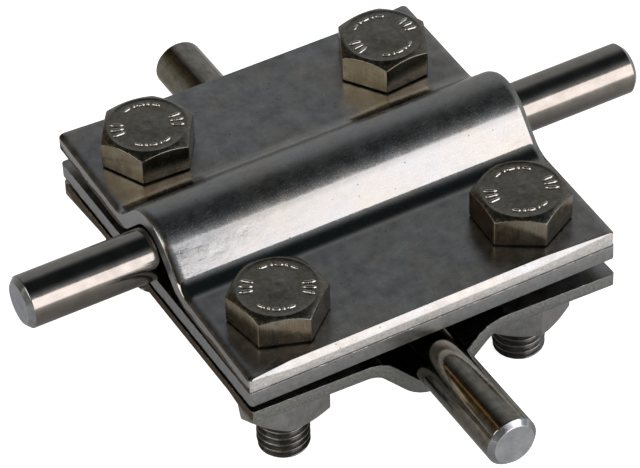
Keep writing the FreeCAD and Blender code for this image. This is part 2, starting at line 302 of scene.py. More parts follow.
def steel(name, cool, warm, grain, roughness=(0.2, 0.3), mottle=0.12, spotted=True,
          grain_depth=0.004, grain_strength=0.35, streaks=0.07, scratched=0.0, clouded=0.14,
          across=None):
    """Steel that drifts between two tints, with grain drawn out along the longest way.

    grain is how many lines per millimetre the brushing has along X, Y and Z, and
    streaks is how far those lines brighten and darken it. mottle is how many clouds
    there are per millimetre, and clouded how far they darken it. scratched stretches
    the scratches, or leaves them out at 0. across is the axis across a pressed
    channel, whose crown is smoothed and whose feet are burnished.
    """
    material, shader = new_material(name)
    nodes = Nodes(material)
    clouds = nodes.noise(nodes.mapped((mottle,) * 3), detail=5.0, roughness=0.62)
    smears = nodes.noise(nodes.mapped((mottle * 4,) * 3, shift=(7, 3, 5)), detail=4.0)
    lines = nodes.noise(nodes.mapped(grain), detail=4.0, roughness=0.7)
    colour = nodes.mix(nodes.remap(clouds, 0.36, 0.66), cool, warm)
    cloud = nodes.remap(smears, 0.3, 0.7, 1 - clouded, 1 + clouded * 0.8)
    polish = nodes.math("ADD", nodes.remap(smears, 0.3, 0.7, roughness[0], roughness[1]),
                        nodes.remap(lines, 0.3, 0.7, -0.03, 0.03))
    relief = lines
    if across is not None:
        side = nodes.split(nodes.mapped())[across]
        away = nodes.math("ABSOLUTE", side)
        burnish = press_polish(nodes, side, away)
        polish = nodes.math("SUBTRACT", polish, burnish)
        relief = nodes.math("MULTIPLY", lines, nodes.remap(burnish, 0.0, 0.2, 1.0, 0.2))
        relief = nodes.math("MULTIPLY", relief, nodes.remap(away, 5.0, 8.0, 0.15, 1.0))
        cloud = nodes.math("POWER", cloud, nodes.remap(burnish, 0.0, 0.2, 1.0, 0.25))
        cloud = nodes.math("POWER", cloud, nodes.remap(away, 5.0, 8.0, 0.45, 1.0))
    shade = nodes.math("MULTIPLY", cloud, nodes.remap(lines, 0.3, 0.7, 1 - streaks, 1 + streaks))
    if spotted:
        pits = nodes.spots(nodes.mapped((0.55,) * 3))
        shade = nodes.math("MULTIPLY", shade, nodes.remap(pits, 0.04, 0.1, 0.45, 1.0))
    if scratched:
        marks = 0.0
        for length, width, turn in ((9, 0.12, 0.35), (14, 0.1, -0.6), (7, 0.14, 1.3)):
            strokes = nodes.noise(nodes.drawn_out(length * scratched, width, turn), detail=1.0)
            marks = nodes.math("MAXIMUM", marks, nodes.remap(strokes, 0.64, 0.76))
        shade = nodes.math("MULTIPLY", shade, nodes.remap(marks, 0, 1, 1.0, 1.4))
        polish = nodes.math("ADD", polish, nodes.remap(marks, 0, 1, 0.0, 0.12))
    colour = nodes.mix(1.0, colour, nodes.grey(shade), "MULTIPLY")
    nodes.plug(colour, shader.inputs["Base Color"])
    nodes.plug(polish, shader.inputs["Roughness"])
    fine = nodes.bump(relief, grain_strength, grain_depth)
    nodes.plug(nodes.bump(smears, 0.25, 0.02, onto=fine), shader.inputs["Normal"])
    return material


def sheared_steel(name, place, burnished, torn, torn_height):
    """A sheared edge: burnished where the punch entered, torn and rough beyond it.

    torn_height is where the one turns into the other, in the plate's own frame.
    """
    material, shader = new_material(name)
    nodes = Nodes(material)
    back = place.inverted()
    own = nodes.split(nodes.mapped(shift=back.translation, turn=back.to_euler()))
    drift = nodes.noise(nodes.mapped((0.25,) * 3), detail=4.0)
    ragged = nodes.noise(nodes.mapped((1.6,) * 3), detail=5.0, roughness=0.65)
    level = nodes.math("ADD", own["Z"],
                       nodes.math("ADD", nodes.remap(drift, 0.3, 0.7, -0.35, 0.35),
                                  nodes.remap(ragged, 0.3, 0.7, -0.12, 0.12)))
    smooth_part = nodes.remap(level, torn_height - 0.1, torn_height + 0.1)
    drag = nodes.noise(nodes.mapped((3, 3, 0.3)))
    grit = nodes.noise(nodes.mapped((7, 7, 7)), roughness=0.7)
    shade = nodes.math("MULTIPLY", nodes.remap(drag, 0.3, 0.7, 0.88, 1.12),
                       nodes.remap(ragged, 0.3, 0.7, 0.86, 1.14))
    colour = nodes.mix(smooth_part, torn, burnished)
    nodes.plug(nodes.mix(1.0, colour, nodes.grey(shade), "MULTIPLY"), shader.inputs["Base Color"])
    nodes.plug(nodes.remap(smooth_part, 0, 1, 0.62, 0.34), shader.inputs["Roughness"])
    rough = nodes.bump(nodes.math("MULTIPLY", grit, nodes.remap(smooth_part, 0, 1, 1.0, 0.15)),
                       0.8, 0.06)
    nodes.plug(nodes.bump(drag, 0.3, 0.01, onto=rough), shader.inputs["Normal"])
    return material


def burred_steel(name):
    """The rim that shearing leaves: dull, with bright burrs along it."""
    material, shader = new_material(name)
    nodes = Nodes(material)
    burrs = nodes.remap(nodes.noise(nodes.mapped((0.8,) * 3), detail=6.0, roughness=0.75),
                        0.5, 0.62)
    drift = nodes.noise(nodes.mapped((0.3,) * 3))
    nodes.plug(nodes.mix(burrs, (0.07, 0.07, 0.065), (0.5, 0.5, 0.48)),
               shader.inputs["Base Color"])
    nodes.plug(nodes.remap(drift, 0.3, 0.7, 0.25, 0.4), shader.inputs["Roughness"])
    nodes.plug(nodes.bump(burrs, 0.6, 0.05), shader.inputs["Normal"])
    return material


def turned_steel(name, colour, centre, across):
    """Steel faced on a lathe: fine rings round the rod's axis, with a slow drift."""
    material, shader = new_material(name)
    nodes = Nodes(material)
    spot = nodes.split(nodes.mapped())
    first = nodes.math("SUBTRACT", spot[across[0]], centre[0])
    second = nodes.math("SUBTRACT", spot[across[1]], centre[1])
    reach = nodes.math("SQRT", nodes.math("ADD", nodes.math("MULTIPLY", first, first),
                                          nodes.math("MULTIPLY", second, second)))
    drift = nodes.noise(nodes.mapped((0.5,) * 3), detail=4.0)
    uneven = nodes.noise(nodes.grey(reach), scale=2.2, detail=4.0, roughness=0.7)
    wave = nodes.math("SINE", nodes.math("MULTIPLY", reach, 2 * pi / FACING_PITCH))
    shade = nodes.math("MULTIPLY", nodes.remap(uneven, 0.3, 0.7, 0.85, 1.15),
                       nodes.remap(drift, 0.3, 0.7, 0.86, 1.14))
    nodes.plug(nodes.mix(1.0, colour, nodes.grey(shade), "MULTIPLY"), shader.inputs["Base Color"])
    nodes.plug(nodes.remap(drift, 0.3, 0.7, 0.26, 0.36), shader.inputs["Roughness"])
    rings = nodes.bump(wave, 0.7, FACING_DEPTH)
    nodes.plug(nodes.bump(uneven, 0.5, FACING_DEPTH * 4, onto=rings), shader.inputs["Normal"])
    return material


UPPER_STEEL = steel("upper_plate_steel", (0.203, 0.21, 0.214), (0.216, 0.208, 0.192),
                    (0.7, 4, 4), roughness=(0.28, 0.34), grain_strength=0.15, scratched=1.0,
                    clouded=0.28, across=1)
LOWER_STEEL = steel("lower_plate_steel", (0.2, 0.21, 0.225), (0.215, 0.2, 0.18),
                    (4, 0.7, 4), roughness=(0.28, 0.34), grain_strength=0.15, scratched=1.0,
                    clouded=0.28, across=0)
MIDDLE_STEEL = steel("middle_plate_steel", (0.2, 0.21, 0.225), (0.215, 0.2, 0.18),
                     (0.7, 4, 4), roughness=(0.28, 0.34), scratched=1.0, clouded=0.28)
GRAINY_EDGE_STEEL = steel("grainy_edge_steel", (0.6, 0.605, 0.6), (0.63, 0.61, 0.59), (3, 3, 3),
                          roughness=(0.55, 0.68), mottle=0.6, grain_depth=0.05,
                          grain_strength=0.8, streaks=0.16)
SMOOTH_EDGE_STEEL = steel("smooth_edge_steel", (0.275, 0.29, 0.3), (0.28, 0.285, 0.28),
                          (1.5, 1.5, 5), roughness=(0.3, 0.4), mottle=0.3, streaks=0.1)
DULL_EDGE_STEEL = steel("dull_edge_steel", (0.222, 0.235, 0.228), (0.232, 0.24, 0.225), (2, 2, 2),
                        roughness=(0.36, 0.5), mottle=0.6, grain_depth=0.02, streaks=0.12,
                        clouded=0.3)
BURR_STEEL = burred_steel("burred_rim_steel")
BORE_STEEL = steel("bore_steel", (0.2, 0.2, 0.2), (0.2, 0.19, 0.17), (2, 2, 2),
                   roughness=(0.35, 0.45))
UPPER_ROD_STEEL = steel("upper_rod_steel", (0.215, 0.203, 0.188), (0.212, 0.195, 0.175),
                        (0.12, 6, 6), roughness=(0.1, 0.16), spotted=False,
                        grain_strength=0.4, streaks=0.08)
LOWER_ROD_STEEL = steel("lower_rod_steel", (0.2, 0.195, 0.175), (0.19, 0.17, 0.13),
                        (6, 0.12, 6), roughness=(0.08, 0.16), mottle=0.2, spotted=False,
                        streaks=0.22, clouded=0.3)
CHAMFER_STEEL = steel("rod_chamfer_steel", (0.27, 0.285, 0.31), (0.28, 0.285, 0.295), (3, 3, 3),
                      roughness=(0.14, 0.2), mottle=0.5, spotted=False)
HEAD_STEEL = steel("head_steel", (0.152, 0.15, 0.134), (0.135, 0.118, 0.09), (2.5, 2.5, 2.5),
                   roughness=(0.2, 0.32), mottle=0.35, streaks=0.1, scratched=0.2, clouded=0.3)
FLAT_STEEL = steel("hexagon_flat_steel", (0.29, 0.27, 0.215), (0.22, 0.17, 0.11), (5, 5, 0.25),
                   roughness=(0.19, 0.27), mottle=0.3, spotted=False, grain_depth=0.02,
                   streaks=0.28)
MARK_STEEL = steel("raised_mark_steel", (0.42, 0.41, 0.39), (0.38, 0.36, 0.32), (2, 2, 2),
                   roughness=(0.2, 0.28), mottle=0.8, spotted=False, grain_strength=0.1)
THREAD_STEEL = steel("thread_steel", (0.17, 0.172, 0.17), (0.165, 0.16, 0.145), (2, 2, 2),
                     roughness=(0.16, 0.24), spotted=False, streaks=0.2, clouded=0.3)
NUT_STEEL = steel("nut_steel", (0.35, 0.36, 0.37), (0.35, 0.345, 0.335), (4, 4, 0.2),
                  roughness=(0.3, 0.42), mottle=0.2, spotted=False, grain_depth=0.015,
                  streaks=0.14)
WASHER_STEEL = steel("washer_steel", (0.23, 0.235, 0.245), (0.23, 0.22, 0.2), (2, 2, 2),
                     roughness=(0.28, 0.38), mottle=0.3)


# --- mesh helpers ---------------------------------------------------------

SHARP = radians(32)
FILLET_STEPS = 4
# a row of points this far beyond a bend keeps its shading off the flat
SUPPORT = 0.06


def piece(name, rows, place, materials, wrap_rows=False, caps=(0, 0), slot_of=None):
    """A skin over rows of points, each row a closed loop.

    caps are the material slots of the two ends. slot_of gives the slot of a face by
    the row that it starts from and its place in that row.
    """
    mesh = bmesh.new()
    loops = [[mesh.verts.new(place @ Vector(point) * MM) for point in row] for row in rows]
    count = len(loops[0])
    pairs = list(zip(loops, loops[1:]))
    if wrap_rows:
        pairs.append((loops[-1], loops[0]))
    for number, (low, high) in enumerate(pairs):
        for turn in range(count):
            after = (turn + 1) % count
            face = mesh.faces.new((low[turn], low[after], high[after], high[turn]))
            face.material_index = slot_of(number, turn) if slot_of else 0
    if not wrap_rows:
        mesh.faces.new(loops[0][::-1]).material_index = caps[0]
        mesh.faces.new(loops[-1]).material_index = caps[1]
    return mesh_object(name, mesh, materials)


def mesh_object(name, mesh, materials):
    """The mesh as an object, once doubled points and slivers are gone."""
    bmesh.ops.remove_doubles(mesh, verts=mesh.verts, dist=1e-7)
    bmesh.ops.dissolve_degenerate(mesh, edges=mesh.edges, dist=1e-8)
    bmesh.ops.recalc_face_normals(mesh, faces=mesh.faces)
    return linked(name, mesh, materials)


def linked(name, mesh, materials):
    """The finished mesh as an object of the scene."""
    data = bpy.data.meshes.new(name)
    mesh.to_mesh(data)
    mesh.free()
    for material in materials:
        data.materials.append(material)
    smooth(data)
    made = bpy.data.objects.new(name, data)
    bpy.context.scene.collection.objects.link(made)
    return made


def smooth(data):
    data.polygons.foreach_set("use_smooth", [True] * len(data.polygons))
    data.set_sharp_from_angle(angle=SHARP)


def joined(name, parts):
    """One object out of several that share no face."""
    mesh = bmesh.new()
    materials = []
    for part in parts:
        first = len(mesh.faces)
        mesh.from_mesh(part.data)
        mesh.faces.ensure_lookup_table()
        index = {}
        for number, material in enumerate(part.data.materials):
            if material not in materials:
                materials.append(material)
            index[number] = materials.index(material)
        for face in mesh.faces[first:]:
            face.material_index = index[face.material_index]
        bpy.data.objects.remove(part)
    return linked(name, mesh, materials)


def fillet(points, radius):
    """The open outline with each inner corner rounded."""
    rounded = [points[0]]
    for before, corner, after in zip(points, points[1:], points[2:]):
        start, middle, end = Vector(before), Vector(corner), Vector(after)
        cut = min(radius, (start - middle).length * 0.45, (end - middle).length * 0.45)
        first = middle + (start - middle).normalized() * cut
        last = middle + (end - middle).normalized() * cut
        for step in range(FILLET_STEPS + 1):
            part = step / FILLET_STEPS
            rounded.append(tuple(first * (1 - part) ** 2 + middle * 2 * part * (1 - part)
                                 + last * part ** 2))
    rounded.append(points[-1])
    return rounded


def ring(radius, height, count):
    return [(radius * cos(2 * pi * turn / count), radius * sin(2 * pi * turn / count), height)
            for turn in range(count)]


# --- plates ---------------------------------------------------------------

UP, DOWN = Vector((0, 1)), Vector((0, -1))
HALF = PLATE_SIDE / 2
# normals round the rolled edge, in degrees from the plate's own: the long slope runs
# from ROLL_FIRST to ROLL_LAST, with a tight bend before and after it
ROLL_ANGLES = [0, 16, 32, 48, 52, 56, 60, 64, 67, 75, 83, 90]
ROLL_FIRST, ROLL_LAST = 3, 8
ROLL_SLOPE = radians(57)
RUST = (0.1, 0.075, 0.05)


def arc(centre, radius, start, end, steps):
    """Points and outward normals along an arc of a section."""
    points = []
    for step in range(steps + 1):
        angle = start + (end - start) * step / steps
        way = Vector((cos(angle), sin(angle)))
        points.append((Vector(centre) + way * radius, way))
    return points


def against(points):
    """The same points, with the normals on the hollow side of the arc."""
    return [(point, -way) for point, way in points]


def channel_half():
    """Half the pressed section from the crown's top round the edge to the crown's hollow.

    Each entry is a point, its outward normal and the side it lies on.
    """
    crown = (0, CHANNEL_DEPTH - CROWN_RADIUS)
    level = PLATE_THICKNESS + FOOT_RADIUS
    reach = ((CROWN_RADIUS + PLATE_THICKNESS + FOOT_RADIUS
              - (level - crown[1]) * cos(FLANK_SLOPE)) / sin(FLANK_SLOPE))
    tilt = pi / 2 - FLANK_SLOPE
    foot = (reach, level)
    outer = arc(crown, CROWN_RADIUS + PLATE_THICKNESS, pi / 2, tilt, 24)
    outer += against(arc(foot, FOOT_RADIUS, pi + tilt, 1.5 * pi, 18))
    outer.append((Vector((reach + SUPPORT, PLATE_THICKNESS)), UP))
    outer.append((Vector((HALF - ROLL_WIDTH - SUPPORT, PLATE_THICKNESS)), UP))
    inner = [(Vector((HALF - RIM_RADIUS - SUPPORT, 0)), DOWN), (Vector((reach + SUPPORT, 0)), DOWN)]
    inner += arc(foot, FOOT_RADIUS + PLATE_THICKNESS, 1.5 * pi, pi + tilt, 18)
    inner += against(arc(crown, CROWN_RADIUS, tilt, pi / 2, 20))
    return ([(*entry, "outer") for entry in outer] + rolled_edge()
            + [(*entry, "inner") for entry in inner])


def rolled_edge():
    """The flange's outer edge. Its first points are placed station by station."""
    edge = [(Vector((HALF, PLATE_THICKNESS)), Vector((sin(radians(angle)), cos(radians(angle)))),
             "roll") for angle in ROLL_ANGLES]
    rim = arc((HALF - RIM_RADIUS, RIM_RADIUS), RIM_RADIUS, 0, -pi / 2, 4)
    return edge + [(*entry, "edge") for entry in rim]


def flat_half():
    """Half the flat plate's section, from the middle of its top round to the middle below."""
    rim = RIM_RADIUS * 1.4
    start, reach = 2, HALF - rim - SUPPORT
    level = PLATE_THICKNESS
    top = [(Vector((start, level)), UP, "outer"), (Vector((reach, level)), UP, "outer")]
    edge = [(*entry, "edge") for entry in arc((HALF - rim, level - rim), rim, pi / 2, 0, 4)
            + arc((HALF - rim, rim), rim, 0, -pi / 2, 4)]
    return top + edge + [(Vector((reach, 0)), DOWN, "inner"), (Vector((start, 0)), DOWN, "inner")]


def stations(roll_width, roll_depth):
    """Places along the plate: where they are, and how far its outer and inner side draw in.

    They lie close together on the rim and the rolled end, and wider apart inwards.
    """
    places = []
    for step in range(5):
        angle = pi / 2 * step / 4
        places.append((RIM_RADIUS * (1 - cos(angle)), RIM_RADIUS * (1 - sin(angle))))
    steps = [0.16, 0.22, 0.3, 0.4, 0.5, 0.6, 0.75, 0.9, 1.05, 1.2, 1.35, 1.5]
    steps += [1.5 + 14 * part / 20 for part in range(1, 21)]
    steps += [15.5 + 14 * part / 6 for part in range(1, 6)]
    places += [(step, 0.0) for step in steps]
    sides = []
    for gone, inset in places:
        left = max(0.0, 1 - gone / roll_width) if roll_width else 0.0
        sides.append((HALF - gone, inset + roll_depth * left ** 2.2, inset))
    mirrored = [(-along, outer, inner) for along, outer, inner in sides]
    return mirrored + [(0.0, 0.0, 0.0)] + sides[::-1]


def roll_growth(along, sign):
    """How far the rolled edge has grown here: nothing at the corners, 1 between."""
    near = (HALF - sign * along) / ROLL_FADE_RIGHT
    far = (HALF + sign * along) / ROLL_FADE_LEFT
    return min(1.0, near, far)


def roll_point(number, grown):
    """Where one point of the rolled edge lies, from the flange's sharp corner."""
    width = RIM_RADIUS + (ROLL_WIDTH - RIM_RADIUS) * grown
    height = RIM_RADIUS + (ROLL_HEIGHT - RIM_RADIUS) * grown
    rim = RIM_RADIUS * 0.7
    first, last = radians(ROLL_ANGLES[ROLL_FIRST]), radians(ROLL_ANGLES[ROLL_LAST])
    angle = radians(ROLL_ANGLES[number])
    start = (rim * sin(first) - width, -rim * (1 - cos(first)))
    end = (-rim * (1 - sin(last)), rim * cos(last) - height)
    if number <= ROLL_FIRST:
        return rim * sin(angle) - width, -rim * (1 - cos(angle))
    if number >= ROLL_LAST:
        return -rim * (1 - sin(angle)), rim * cos(angle) - height
    part = (number - ROLL_FIRST) / (ROLL_LAST - ROLL_FIRST)
    bulge = ROLL_BULGE * 4 * grown * part * (1 - part)
    return (start[0] + (end[0] - start[0]) * part + bulge * sin(ROLL_SLOPE),
            start[1] + (end[1] - start[1]) * part + bulge * cos(ROLL_SLOPE))


def section_at(half_outline, along, outer, inner):
    """The closed section at one station, both halves, in (u, v, w)."""
    over = max(0.0, abs(along) - (HALF - CORNER_ROUND))
    pulled = CORNER_ROUND - (CORNER_ROUND ** 2 - min(over, CORNER_ROUND) ** 2) ** 0.5
    kinds = [kind for _, _, kind in half_outline]
    first_roll = kinds.index("roll") if "roll" in kinds else 0
    sides = []
    for sign in (1, -1):
        grown = roll_growth(along, sign)
        loop = []
        for number, (point, way, kind) in enumerate(half_outline):
            across, up = point
            if kind == "roll":
                back, fall = roll_point(number - first_roll, grown)
                across, up = across + back - way.x * inner, up + fall - outer
            elif kind == "outer":
                across, up = across - way.x * outer, up - way.y * outer
            else:
                across, up = across - way.x * inner, up - way.y * inner
            if across > HALF - 2:
                across -= pulled
            loop.append((along, sign * across, up))
        sides.append(loop)
    return sides[0] + sides[1][::-1]


def cut_holes(made, place):
    """Bolt holes with a slight countersink at each face, cut right through the plate."""
    radius = HOLE_DIAMETER / 2
    mouth = radius + HOLE_FLARE
    outline = [(mouth + 1, -1), (mouth, 0), (radius, HOLE_FLARE),
               (radius, PLATE_THICKNESS - HOLE_FLARE), (mouth, PLATE_THICKNESS),
               (mouth + 1, PLATE_THICKNESS + 1)]
    cutters = []
    for side in (-1, 1):
        for way in (-1, 1):
            spot = place @ shifted(side * BOLT_PITCH / 2, way * BOLT_PITCH / 2, 0)
            rows = [ring(reach, level, 72) for reach, level in outline]
            cutters.append(piece("cutter", rows, spot, [BORE_STEEL]))
    cutter = joined("cutters", cutters)
    change = made.modifiers.new("holes", "BOOLEAN")
    change.operation = "DIFFERENCE"
    change.solver = "EXACT"
    change.material_mode = "TRANSFER"
    change.object = cutter
    graph = bpy.context.evaluated_depsgraph_get()
    data = bpy.data.meshes.new_from_object(made.evaluated_get(graph))
    made.modifiers.clear()
    made.data = data
    bpy.data.objects.remove(cutter)
    smooth(data)


def plate(name, half_outline, place, materials, roll_width=0.0, roll_depth=0.0):
    """A plate from half its section.

    materials are those of the faces, of the edges that look along Y, of the edges
    that look along X and, where there is a fourth, of the narrow rims.
    """
    rows = [section_at(half_outline, *station) for station in stations(roll_width, roll_depth)]
    made = piece(name, rows, place, materials, caps=(1, 1))
    turn = place.to_3x3().inverted()
    for face in made.data.polygons:
        way = turn @ face.normal
        if abs(way.z) < 0.3 and on_rim(turn, place, face):
            face.material_index = 1 if abs(face.normal.y) > abs(face.normal.x) else 2
        elif len(materials) > 3 and abs(way.z) < 0.97 and on_rim(turn, place, face):
            face.material_index = 3
    cut_holes(made, place)
    return made


def on_rim(turn, place, face):
    """Whether a face lies on the plate's outer edge."""
    spot = turn @ (face.center / MM - place.translation)
    return max(abs(spot.x), abs(spot.y)) > HALF - 0.25


upper_plate_place = UPPER_FRAME @ shifted(0, 0, -UPPER_DROP)
lower_plate_place = (LOWER_FRAME @ shifted(0, 0, LOWER_DROP) @ turned(pi, "X")
                     @ turned(pi / 2, "Z"))
middle_plate_place = shifted(0, 0, MIDDLE_HEIGHT - PLATE_THICKNESS / 2)
plates = {
    "upper_plate": plate(
        "upper_channel_plate", channel_half(), upper_plate_place,
        [UPPER_STEEL, GRAINY_EDGE_STEEL,
         sheared_steel("upper_plate_end", upper_plate_place, (0.36, 0.37, 0.4), RUST, 0.9)],
        END_ROLL_WIDTH, END_ROLL_DEPTH),
    "lower_plate": plate(
        "lower_channel_plate", channel_half(), lower_plate_place,
        [LOWER_STEEL, DULL_EDGE_STEEL,
         sheared_steel("lower_plate_side", lower_plate_place, (0.2, 0.19, 0.17), RUST, 1.6),
         BURR_STEEL],
        END_ROLL_WIDTH, END_ROLL_DEPTH),
    "middle_plate": plate(
        "middle_flat_plate", flat_half(), middle_plate_place,
        [MIDDLE_STEEL, SMOOTH_EDGE_STEEL,
         sheared_steel("middle_plate_end", middle_plate_place, (0.32, 0.33, 0.35), RUST, 0.2),
         BURR_STEEL]),
}
for node, made in plates.items():
    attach(made, "clamp")
    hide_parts(node)


# --- rods -----------------------------------------------------------------

def rod(name, length, place, wall, chamfer, faced):
    """A drawn bar with chamfered, faced ends and the pip that the tool leaves."""
    end = length / 2
    face = ROD_RADIUS - ROD_CHAMFER
    half = [(0.02, 0.03), (0.1, 0.028), (0.17, 0.0), (0.24, -0.012), (0.34, 0.0)]
    half += [(face - 0.1, 0.0), (face - 0.05, 0.0), (face - 0.01, -0.01)]
    faced_rows = len(half)
    half += [(face + 0.05, -0.05), (face + 0.09, -0.09),
             (ROD_RADIUS - 0.09, 0.09 - ROD_CHAMFER), (ROD_RADIUS - 0.05, 0.05 - ROD_CHAMFER)]
    chamfer_rows = len(half)
    half += [(ROD_RADIUS - 0.01, -0.01 - ROD_CHAMFER), (ROD_RADIUS, -0.06 - ROD_CHAMFER),
             (ROD_RADIUS, -0.12 - ROD_CHAMFER)]
    profile = [(reach, -end - level) for reach, level in half]
    profile += [(reach, end + level) for reach, level in half[::-1]]
    last = len(profile) - 2

    def slot_of(number, turn):
        nearest = min(number, last - number)
        return 2 if nearest < faced_rows - 1 else 1 if nearest < chamfer_rows else 0

    rows = [ring(reach, level, 144) for reach, level in profile]
    return piece(name, rows, place, [wall, chamfer, faced], caps=(2, 2), slot_of=slot_of)


upper_rod_height = MIDDLE_HEIGHT + UPPER_ROD_RISE
lower_rod_height = MIDDLE_HEIGHT - LOWER_ROD_FALL
upper_face = turned_steel("upper_rod_face", (0.33, 0.355, 0.42), (0, upper_rod_height), (1, 2))
lower_face = turned_steel("lower_rod_face", (0.4, 0.42, 0.445), (0, lower_rod_height), (0, 2))
rods = {
    "upper_rod": rod("upper_round_rod", UPPER_ROD_LENGTH,
                     shifted(0, 0, upper_rod_height) @ turned(pi / 2, "Y"),
                     UPPER_ROD_STEEL, CHAMFER_STEEL, upper_face),
    "lower_rod": rod("lower_round_rod", LOWER_ROD_LENGTH,
                     shifted(0, 0, lower_rod_height) @ turned(-pi / 2, "X"),
                     LOWER_ROD_STEEL, CHAMFER_STEEL, lower_face),
}
for node, made in rods.items():
    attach(made, node)
    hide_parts(node)


# --- bolts, nuts and washers ----------------------------------------------

def hexagon():
    """Outline of a hexagon with one corner on the X axis and its corners just rounded."""
    corner_steps, flat_steps = 4, 12
    reach = (ACROSS_FLATS / 2 - CORNER_RADIUS) / cos(pi / 6)
    corners = [Vector((reach * cos(pi / 3 * turn), reach * sin(pi / 3 * turn)))
               for turn in range(6)]
    outline = []
    for turn, corner in enumerate(corners):
        middle = pi / 3 * turn
        for step in range(corner_steps + 1):
            angle = middle - pi / 6 + pi / 3 * step / corner_steps
            outline.append(corner + Vector((cos(angle), sin(angle))) * CORNER_RADIUS)
        start = outline[-1]
        angle = middle + pi / 6
        end = corners[(turn + 1) % 6] + Vector((cos(angle), sin(angle))) * CORNER_RADIUS
        for step in range(1, flat_steps):
            outline.append(start.lerp(end, step / flat_steps))
    return outline


def round_row(outline, reach, level):
    """A round row with one point in line with each of the outline's."""
    return [(way.x * reach, way.y * reach, level)
            for way in (point.normalized() for point in outline)]


def hexagon_wall(outline, low, high, low_chamfer, high_chamfer):
    """Rows up a hexagon's side, from disc to disc, with the brows just rounded.

    The two chamfers say how much of the cone is cut below and above: 0 or 1.
    """
    lines = []
    for point in outline:
        reach, way = point.length, point.normalized()
        fall = max(0.0, reach - HEAD_DISC_RADIUS) * tan(CHAMFER_SLOPE)
        profile = [(HEAD_DISC_RADIUS, low), (reach, low + fall * low_chamfer),
                   (reach, high - fall * high_chamfer), (HEAD_DISC_RADIUS, high)]
        lines.append([(way.x * radius, way.y * radius, level)
                      for radius, level in fillet(profile, BROW_RADIUS)])
    return [list(row) for row in zip(*lines)]


def head(name, place):
    """Hexagon head with its washer face below, and a faint step and ring on its top disc."""
    outline = hexagon()
    bottom = [round_row(outline, reach, level) for reach, level in (
        (3.9, 0), (SEAT_FACE_RADIUS - 0.1, 0), (SEAT_FACE_RADIUS, 0.1),
        (SEAT_FACE_RADIUS, SEAT_FACE_THICKNESS))]
    wall = hexagon_wall(outline, SEAT_FACE_THICKNESS, HEAD_HEIGHT, 0, 1)
    top = [round_row(outline, reach, HEAD_HEIGHT - sunk) for reach, sunk in (
        (5.88, 0), (5.78, 0.03), (5.2, 0.045), (1.3, 0.055), (1.0, 0.02), (0.7, 0.055))]
    upright = len(bottom) + 1 + FILLET_STEPS

    # the tall flat and the steps of the brows that run into it
    def slot_of(number, turn):
        return 1 if upright - 2 <= number <= upright + 1 else 0

    return piece(name, bottom + wall + top, place, [HEAD_STEEL, FLAT_STEEL], slot_of=slot_of)


def thread(name, place, low, high):
    """An outside thread: rows that climb with the helix, held inside the bar's outline."""
    crest = THREAD_DIAMETER / 2 - THREAD_INSET
    root = crest - THREAD_DEPTH
    shape = [(0.0, crest), (0.09, crest), (0.12, crest - 0.02), (0.145, crest - 0.055),
             (0.165, crest - 0.097), (0.405, root + 0.073), (0.425, root + 0.03), (0.46, root),
             (0.63, root), (0.665, root + 0.03), (0.945, crest - 0.055), (0.97, crest - 0.02)]
    count = 60
    tip_radius = THREAD_DIAMETER / 2 - TIP_CHAMFER
    turns = ceil((high - low) / THREAD_PITCH) + 2
    grid = []
    for turn in range(-1, turns):
        for part, reach in shape:
            row = []
            for step in range(count + 1):
                level = low + THREAD_PITCH * (turn + part + step / count)
                level = max(low, min(high, level))
                radius = min(reach, tip_radius + (level - low))
                angle = 2 * pi * step / count
                row.append((radius * cos(angle), radius * sin(angle), level))
            grid.append(row)
    mesh = bmesh.new()
    made = [[mesh.verts.new(place @ Vector(point) * MM) for point in row] for row in grid]
    for below, above in zip(made, made[1:]):
        for step in range(count):
            mesh.faces.new((below[step], below[step + 1], above[step + 1], above[step]))
    tip = [mesh.verts.new(place @ Vector(point) * MM) for point in ring(tip_radius, low, count)]
    mesh.faces.new(tip[::-1])
    bmesh.ops.remove_doubles(mesh, verts=mesh.verts, dist=1e-6)
    return mesh_object(name, mesh, [THREAD_STEEL])


def ridge(name, place, path, width, height):
    """A raised mark: a rounded ridge that follows the path and tapers off at both ends."""
    points = [Vector(point) for point in path]
    rows = []
    last = len(points) - 1
    for number, point in enumerate(points):
        ahead = points[min(number + 1, last)] - points[max(number - 1, 0)]
        side = Vector((-ahead.y, ahead.x)).normalized()
        part = number / last
        grown = max(0.12, min(1.0, 5 * part, 5 * (1 - part))) ** 0.5
        row = []
        for step in range(9):
            angle = pi * step / 8
            spot = point + side * (cos(angle) * width / 2 * grown)
            row.append((spot.x, spot.y, sin(angle) * height * grown))
        for edge in (-1, 1):
            spot = point + side * (edge * width / 2 * grown)
            row.append((spot.x, spot.y, -0.04))
        rows.append(row)
    return piece(name, rows, place, [MARK_STEEL])


def head_marks(place, turn):
    """Plain raised marks round the head: two groups of bars, with dashes and dots between."""
    parts = []
    level = place @ turned(turn, "Z") @ shifted(0, 0, HEAD_HEIGHT - 0.05)
    spoke = [(3.5 + 2.0 * step / 12, 0) for step in range(13)]
    for side in (0, pi):
        for number in (-1, 0, 1):
            spot = level @ turned(side + number * 0.23, "Z")
            parts.append(ridge("bar", spot, spoke, 0.62, 0.3))
    dot = [(MARK_RING_RADIUS + 0.6 * (step / 8 - 0.5), 0) for step in range(9)]
    dash = [(MARK_RING_RADIUS * cos(angle), MARK_RING_RADIUS * sin(angle))
            for angle in (0.3 * (step / 12 - 0.5) for step in range(13))]
    for side in (pi / 2, -pi / 2):
        for turn_on, path in ((-0.5, dash), (-0.24, dot), (0, dash), (0.24, dot), (0.5, dash)):
            spot = level @ turned(side + turn_on, "Z")
            parts.append(ridge("mark", spot, path, 0.56, 0.28))
    return parts


